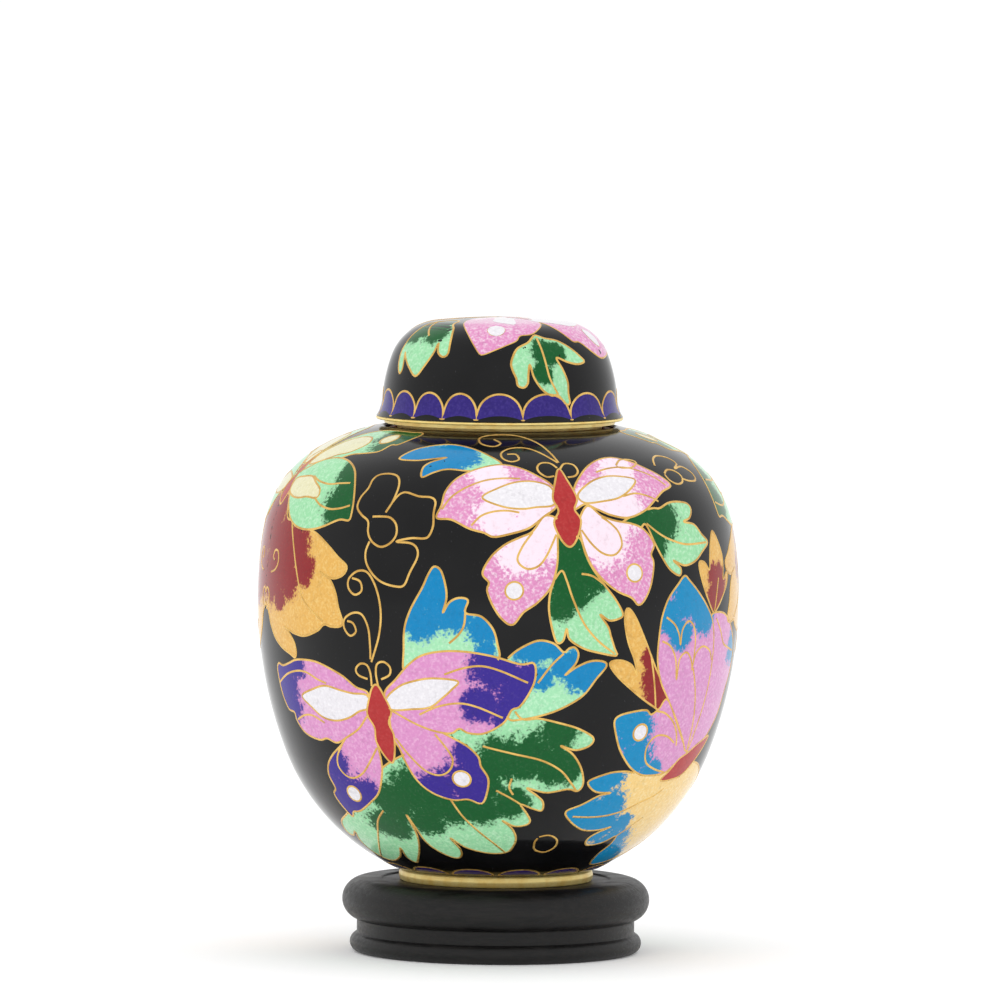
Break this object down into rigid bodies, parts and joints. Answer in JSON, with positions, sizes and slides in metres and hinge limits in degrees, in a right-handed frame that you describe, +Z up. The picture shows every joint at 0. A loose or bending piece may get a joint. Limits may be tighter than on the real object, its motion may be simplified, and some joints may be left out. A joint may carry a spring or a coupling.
{
  "type": "cloisonne vase",
  "caption": "Lidded ginger jar in cloisonne enamel on copper, with butterflies and leaves on black, standing on a turned black wooden stand.",
  "frame": {"origin": "centre of the stand's underside", "axes": "+Z up along the jar's axis, -Y the front of the jar, +X to the right seen from the front"},
  "size_m": [0.1068, 0.1069, 0.1413],
  "materials": {
    "black_lacquer": "gloss lacquer",
    "gilt": "polished gilt",
    "copper": "plain copper",
    "turquoise_enamel": "gloss",
    "black_enamel": "gloss",
    "indigo_enamel": "gloss",
    "white_enamel": "gloss",
    "red_enamel": "gloss",
    "violet_enamel": "gloss",
    "pink_enamel": "gloss",
    "blue_enamel": "gloss",
    "yellow_enamel": "gloss",
    "green_enamel": "gloss"
  },
  "bodies": {
    "stand": {"stand": "black_lacquer"},
    "jar": {"foot_ring": "gilt", "copper_lower_shell": "copper", "copper_upper_shell": "copper", "neck_collar": "copper", "mouth_rim": "gilt", "lining_enamel": "turquoise_enamel", "base_enamel": "turquoise_enamel", "neck_enamel": "turquoise_enamel", "ground_enamel": "black_enamel", "foot_lappet_enamel": "indigo_enamel", "foot_lappet_wires": "gilt", "pink_butterfly_wings": "pink_enamel", "pink_butterfly_cells": "white_enamel", "pink_butterfly_body": "red_enamel", "pink_butterfly_wires": "gilt", "violet_butterfly_wings": "violet_enamel", "violet_butterfly_cells": "white_enamel", "violet_butterfly_body": "red_enamel", "violet_butterfly_wires": "gilt", "green_butterfly_wings": "green_enamel", "green_butterfly_cells": "white_enamel", "green_butterfly_body": "red_enamel", "green_butterfly_wires": "gilt", "blue_butterfly_wings": "blue_enamel", "blue_butterfly_spots": "white_enamel", "blue_butterfly_body": "red_enamel", "blue_butterfly_wires": "gilt", "gold_lily_enamel": "yellow_enamel", "gold_lily_wires": "gilt", "leaf_spray_enamel": "green_enamel", "leaf_spray_wires": "gilt", "green_leaf_enamel": "green_enamel", "green_leaf_wires": "gilt", "blue_leaf_enamel": "blue_enamel", "blue_leaf_wires": "gilt", "red_leaf_enamel": "red_enamel", "red_leaf_wires": "gilt"},
    "lid": {"lid_copper": "copper", "lid_rim": "gilt", "lid_lining_enamel": "turquoise_enamel", "lid_ground_enamel": "black_enamel", "lid_scallop_enamel": "indigo_enamel", "lid_scallop_wires": "gilt", "lid_butterfly_wings": "pink_enamel", "lid_butterfly_cells": "white_enamel", "lid_butterfly_body": "red_enamel", "lid_butterfly_wires": "gilt", "lid_leaf_enamel": "green_enamel", "lid_leaf_wires": "gilt"}
  },
  "joints": [
    {"name": "jar_lift", "type": "slide", "parent": "stand", "child": "jar", "axis": [0, 0, 1], "range_m": [0, 0.03]},
    {"name": "lid_lift", "type": "slide", "parent": "jar", "child": "lid", "axis": [0, 0, 1], "range_m": [0, 0.06]}
  ]
}
